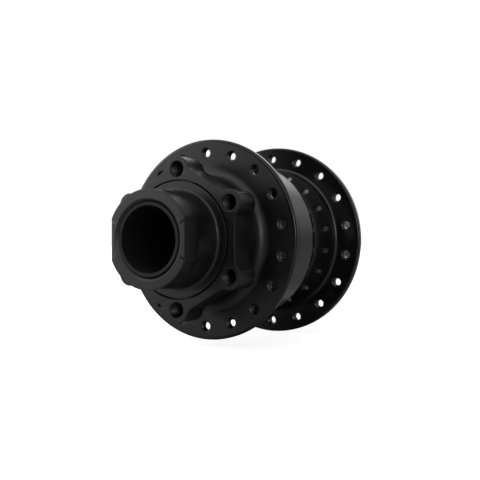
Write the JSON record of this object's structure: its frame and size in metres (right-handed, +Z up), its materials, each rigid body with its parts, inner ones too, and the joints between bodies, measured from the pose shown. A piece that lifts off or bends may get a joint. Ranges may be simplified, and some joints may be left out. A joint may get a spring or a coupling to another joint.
{
  "type": "bicycle rear hub",
  "caption": "Bicycle rear disc-brake hub with spoke flanges, a lobed disc mount, a hollow through axle, end caps, bearings and a splined pawl freehub.",
  "frame": {"origin": "centre of the hub, midway between its two end faces on the axle's centre line", "axes": "+Y along the axle from the disc side to the drive side, +Z up, +X forwards of the hub when the wheel stands on the ground"},
  "size_m": [0.0716, 0.135, 0.0716],
  "materials": {
    "black_anodised": "black anodised, bead-blasted satin",
    "black_axle": "black anodised, turned",
    "freehub_grey": "dark hard anodised, turned",
    "bearing_steel": "ground",
    "ball_steel": "polished",
    "hard_steel": "hardened and blued",
    "spring_steel": "rolled",
    "bare_aluminium": "turned",
    "seal_rubber": "matt",
    "bearing_seal_rubber": "matt",
    "cage_nylon": "moulded"
  },
  "bodies": {
    "axle": {"axle": "black_axle", "disc_end_cap": "black_anodised", "disc_cap_o_ring": "seal_rubber", "drive_end_cap": "black_anodised", "drive_cap_o_ring": "seal_rubber", "disc_bearing_inner_race": "bearing_steel", "drive_bearing_inner_race": "bearing_steel", "bearing_spacer": "bare_aluminium", "freehub_bearing_inner_race": "bearing_steel", "bearing_lock_nut": "bare_aluminium"},
    "shell": {"hub_shell": "black_anodised", "ratchet_ring": "hard_steel", "disc_bearing_outer_race": "bearing_steel", "disc_bearing_seals": "bearing_seal_rubber", "drive_bearing_outer_race": "bearing_steel", "drive_bearing_seals": "bearing_seal_rubber", "hub_lip_seal": "seal_rubber"},
    "disc_ball_set": {"disc_bearing_balls": "ball_steel", "disc_bearing_cage": "cage_nylon"},
    "drive_ball_set": {"drive_bearing_balls": "ball_steel", "drive_bearing_cage": "cage_nylon"},
    "freehub": {"freehub_body": "freehub_grey", "freehub_bearing_outer_race": "bearing_steel", "freehub_bearing_seals": "bearing_seal_rubber", "freehub_circlip": "spring_steel", "needle_bearing_cup": "bearing_steel", "freehub_end_seal": "seal_rubber", "pawl_springs": "spring_steel"},
    "freehub_ball_set": {"freehub_bearing_balls": "ball_steel", "freehub_bearing_cage": "cage_nylon"},
    "needle_set": {"needle_rollers": "ball_steel", "needle_cage": "cage_nylon"},
    "pawl_1": {"pawl_1": "hard_steel"},
    "pawl_2": {"pawl_2": "hard_steel"},
    "pawl_3": {"pawl_3": "hard_steel"}
  },
  "joints": [
    {"name": "hub_spin", "type": "hinge", "parent": "axle", "child": "shell", "pos_m": [0, 0, 0], "axis": [0, 1, 0], "continuous": true},
    {"name": "disc_balls_roll", "type": "hinge", "parent": "axle", "child": "disc_ball_set", "pos_m": [0, -0.0468, 0], "axis": [0, 1, 0], "continuous": true},
    {"name": "drive_balls_roll", "type": "hinge", "parent": "axle", "child": "drive_ball_set", "pos_m": [0, -0.0042, 0], "axis": [0, 1, 0], "continuous": true},
    {"name": "freehub_spin", "type": "hinge", "parent": "axle", "child": "freehub", "pos_m": [0, 0.03, 0], "axis": [0, 1, 0], "continuous": true},
    {"name": "freehub_balls_roll", "type": "hinge", "parent": "axle", "child": "freehub_ball_set", "pos_m": [0, 0.0038, 0], "axis": [0, 1, 0], "continuous": true},
    {"name": "needles_roll", "type": "hinge", "parent": "axle", "child": "needle_set", "pos_m": [0, 0.0447, 0], "axis": [0, 1, 0], "continuous": true},
    {"name": "pawl_1_swing", "type": "hinge", "parent": "freehub", "child": "pawl_1", "pos_m": [0.0173, 0.0098, 0], "axis": [0, 1, 0], "range_deg": [0, 10.5], "stiffness_Nm_per_rad": 0.01, "springref_deg": 10.5},
    {"name": "pawl_2_swing", "type": "hinge", "parent": "freehub", "child": "pawl_2", "pos_m": [-0.00865, 0.0098, 0.01498], "axis": [0, 1, 0], "range_deg": [0, 10.5], "stiffness_Nm_per_rad": 0.01, "springref_deg": 10.5},
    {"name": "pawl_3_swing", "type": "hinge", "parent": "freehub", "child": "pawl_3", "pos_m": [-0.00865, 0.0098, -0.01498], "axis": [0, 1, 0], "range_deg": [0, 10.5], "stiffness_Nm_per_rad": 0.01, "springref_deg": 10.5}
  ],
  "couplings": [
    {"joint": "disc_balls_roll", "follows": "hub_spin", "ratio": 0.5561},
    {"joint": "drive_balls_roll", "follows": "hub_spin", "ratio": 0.5561},
    {"joint": "freehub_balls_roll", "follows": "freehub_spin", "ratio": 0.5316},
    {"joint": "needles_roll", "follows": "freehub_spin", "ratio": 0.54},
    {"joint": "pawl_2_swing", "follows": "pawl_1_swing", "ratio": 1},
    {"joint": "pawl_3_swing", "follows": "pawl_1_swing", "ratio": 1}
  ]
}
